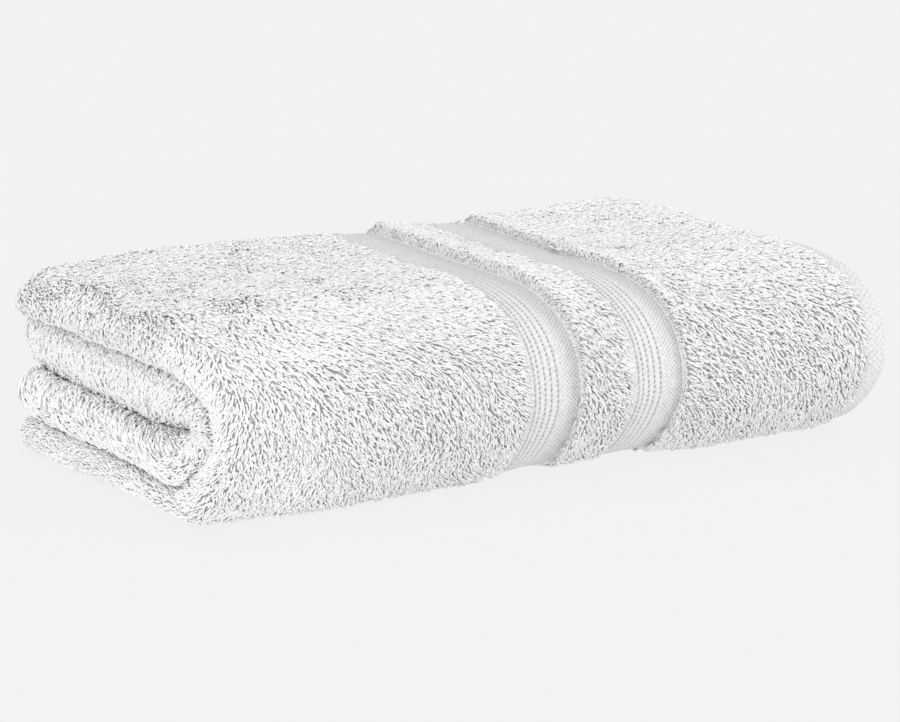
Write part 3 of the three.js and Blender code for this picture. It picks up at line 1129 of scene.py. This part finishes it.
class Tree:
    """A new material's nodes, with one call that adds a node, sets it and links it."""

    def __init__(self, name):
        self.material = bpy.data.materials.new(name)
        self.material.use_nodes = True
        self.tree = self.material.node_tree
        self.tree.nodes.clear()

    def add(self, kind, inputs=None, **settings):
        node = self.tree.nodes.new("ShaderNode" + kind)
        for key, value in settings.items():
            setattr(node, key, value)
        for key, value in (inputs or {}).items():
            if isinstance(value, bpy.types.NodeSocket):
                self.tree.links.new(value, node.inputs[key])
            else:
                node.inputs[key].default_value = value
        return node

    def math(self, operation, first, second=0.0):
        return self.add("Math", {0: first, 1: second}, operation=operation).outputs[0]

    def times(self, first, second):
        return self.math("MULTIPLY", first, second)

    def place(self):
        return self.add("TexCoord").outputs["Object"]

    # The mesh attribute of painted shade, painted fill light and random tone
    def tone(self):
        return self.add("Attribute", attribute_name="tone").outputs["Fac"]

    def wave(self, place, period):
        """A wave from -1 to 1 with a period in the unit of the place."""
        return self.math("SINE", self.times(place, 2 * math.pi / period))

    def noise(self, scale, detail=2.0, roughness=0.5):
        values = {"Vector": self.place(), "Scale": scale, "Detail": detail, "Roughness": roughness}
        return self.add("TexNoise", values).outputs[0]

    def grain(self, scale):
        """Noise centred on 0."""
        return self.math("SUBTRACT", self.noise(scale, 1.0), 0.5)

    def mix(self, share, first, second):
        return self.add("Mix", {0: share, 6: first, 7: second}, data_type="RGBA").outputs[2]

    def cotton(self, color, height, strength, distance):
        """Ends the tree in soft matt cotton, with a bump from a height."""
        bump = self.add("Bump", {"Strength": strength, "Distance": distance, "Height": height})
        shader = self.add("BsdfPrincipled", {"Base Color": color, "Normal": bump.outputs[0], **COTTON})
        self.add("OutputMaterial", {"Surface": shader.outputs[0]})
        return self.material


def pile_material():
    tree = Tree("terry_pile")
    patchy = tree.add("MapRange", {"Value": tree.noise(60.0), "To Min": 0.9, "To Max": 1.05}).outputs[0]
    speckle = tree.times(tree.grain(1000.0), 0.3)
    share = tree.math("ADD", tree.times(tree.tone(), patchy), speckle)
    # The strands' colour runs from painted shade on their roots and flanks to white on their crests, with
    # random patches and speckle
    color = tree.mix(share, PILE_PAINTED_SHADE, PILE_TIP)
    return tree.cotton(color, tree.noise(2500.0, detail=3.0, roughness=0.7), strength=0.35, distance=0.0003)


def ground_material():
    tree = Tree("terry_ground")
    loops = tree.add("TexVoronoi", {"Vector": tree.place(), "Scale": 700.0}).outputs["Distance"]
    # Painted shade: the ground is darker away from the middles of its loops, in the hollows between them
    color = tree.mix(loops, GROUND_LIGHT, GROUND_PAINTED_SHADE)
    return tree.cotton(color, tree.math("SUBTRACT", 1.0, loops), strength=0.8, distance=0.001)


def weave_material(name, across, along, checked):
    """Flat weave with threads at the given pitches, in millimetres, across and along the strip, and a
    coarser check of the given depth beside the cords."""
    tree = Tree(name)
    place = tree.add("UVMap", uv_map="weave").outputs[0]
    from_edge, along_edge, _ = tree.add("SeparateXYZ", {0: place}).outputs
    threads = tree.times(tree.wave(from_edge, across), tree.wave(along_edge, along))
    height = tree.math("ADD", threads, tree.times(tree.noise(900.0), 0.8))
    yarn = tree.math("ADD", tree.times(threads, 0.06), tree.times(tree.grain(800.0), 0.9))
    pitch = WAFFLE["pitch"]
    check = tree.times(tree.wave(from_edge, pitch), tree.wave(along_edge, pitch))
    from_cords = tree.math("ABSOLUTE", tree.math("SUBTRACT", from_edge, CORDS_MIDDLE))
    beside = tree.math("GREATER_THAN", from_cords, CORDS_HALF)
    check = tree.times(tree.times(check, beside), checked)
    # The colour runs towards the dark end as painted shade in the grooves and dips, with random grain and a
    # lighter and darker check
    share = tree.math("ADD", tree.math("ADD", tree.tone(), yarn), check)
    return tree.cotton(tree.mix(share, WEAVE_DARK, WEAVE_LIGHT), height, strength=0.5, distance=0.0003)


def floor_material():
    """A floor as pale as the backdrop, which it fades into away from the towel."""
    tree = Tree("floor")
    far = tree.add("VectorMath", {0: tree.place()}, operation="LENGTH").outputs["Value"]
    limits = {"From Min": 0.35, "From Max": 0.9, "To Min": 0.06, "To Max": 0.0}
    matt_share = tree.add("MapRange", {"Value": far, **limits}).outputs[0]
    glow = tree.add("Emission", {"Color": BACKGROUND, "Strength": 1.0}).outputs[0]
    matt = tree.add("BsdfDiffuse", {"Color": FLOOR_COLOR}).outputs[0]
    mixed = tree.add("MixShader", {0: matt_share, 1: glow, 2: matt}).outputs[0]
    tree.add("OutputMaterial", {"Surface": mixed})
    return tree.material


# Camera, fitted to the photograph, which is 900 by 722 pixels. It stands a turn to the left of the front.

PHOTO_WIDTH = 900
CAMERA_TARGET = (0.0029, 0.0016, 0.04057)
CAMERA_TURN = 31.03
CAMERA_RISE = 11.67
CAMERA_DISTANCE = 1.277
FOCAL_PIXELS = 2698
SHIFT_PIXELS = (-10.96, -0.62)
SENSOR_MM = 36


def look_at(item, place, target):
    item.location = place
    item.rotation_euler = (Vector(target) - Vector(place)).to_track_quat("-Z", "Y").to_euler()


def add_camera():
    turn = math.radians(CAMERA_TURN)
    rise = math.radians(CAMERA_RISE)
    back = Vector((-math.sin(turn) * math.cos(rise), -math.cos(turn) * math.cos(rise), math.sin(rise)))
    data = bpy.data.cameras.new("camera")
    data.sensor_width = SENSOR_MM
    data.lens = FOCAL_PIXELS * SENSOR_MM / PHOTO_WIDTH
    data.shift_x = SHIFT_PIXELS[0] / PHOTO_WIDTH
    data.shift_y = SHIFT_PIXELS[1] / PHOTO_WIDTH
    camera = new_object("camera", data)
    look_at(camera, Vector(CAMERA_TARGET) + back * CAMERA_DISTANCE, CAMERA_TARGET)
    bpy.context.scene.camera = camera


# Light and floor, in metres

LIGHTS = table(
    "name place size power",
    ("key", (-1.1, -1.5, 0.3), 0.5, 7),
    ("fill", (1.3, -1.3, 0.3), 0.5, 11),
    ("side", (-1.7, -0.4, 0.3), 0.5, 5),
    ("above", (0.0, 0.2, 1.7), 1.4, 5.5),
)
FLOOR_HALF = 12


def add_studio():
    """Even pale surroundings, four soft lights and a plain pale floor."""
    world = bpy.data.worlds.new("studio")
    world.use_nodes = True
    color, strength = world.node_tree.nodes["Background"].inputs[:2]
    color.default_value = BACKGROUND
    strength.default_value = 1.0
    bpy.context.scene.world = world
    for row in LIGHTS:
        data = bpy.data.lights.new(row.name, "AREA")
        data.shape = "DISK"
        data.size = row.size
        data.energy = row.power
        light = new_object(row.name, data)
        light.visible_camera = False
        look_at(light, row.place, CAMERA_TARGET)

    half = FLOOR_HALF
    mesh = bpy.data.meshes.new("floor")
    corners = [(-half, -half, 0), (half, -half, 0), (half, half, 0), (-half, half, 0)]
    mesh.from_pydata(corners, [], [(0, 1, 2, 3)])
    floor = new_object("floor", mesh)
    floor.data.materials.append(floor_material())
    bpy.context.scene.view_settings.view_transform = "Standard"


# The towel

INNER_PLY_SHORTER = 1


def build_towel():
    cloth = terry_cloth()
    bands = [woven_band(band) for band in BANDS]
    outer, inner = HEM_END_X["outer"], HEM_END_X["inner"]
    hems = [
        hem("hem_outer_face", OUTER_LAYER, 1, outer, fine=True),
        hem("hem_outer_back", OUTER_LAYER, -1, outer - INNER_PLY_SHORTER, fine=False),
        hem("hem_inner_back", INNER_LAYER, 1, inner - INNER_PLY_SHORTER, fine=False),
        hem("hem_inner_face", INNER_LAYER, -1, inner, fine=False),
    ]
    selvedges = [selvedge("selvedge_outer", 1), selvedge("selvedge_inner", -1)]
    pile = make_pile()

    cloth.data.materials.append(ground_material())
    band_weave = weave_material("band_weave", across=0.9, along=0.8, checked=0.3)
    hem_weave = weave_material("hem_weave", across=0.95, along=1.1, checked=0.0)
    terry = pile_material()
    for pieces, material in ((bands, band_weave), (hems + selvedges, hem_weave), (pile, terry)):
        for piece in pieces:
            piece.data.materials.append(material)

    parts = bands + hems + selvedges + pile
    for piece in [cloth] + parts:
        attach(piece, "root")
        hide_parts("towel")


add_camera()
add_studio()
build_towel()
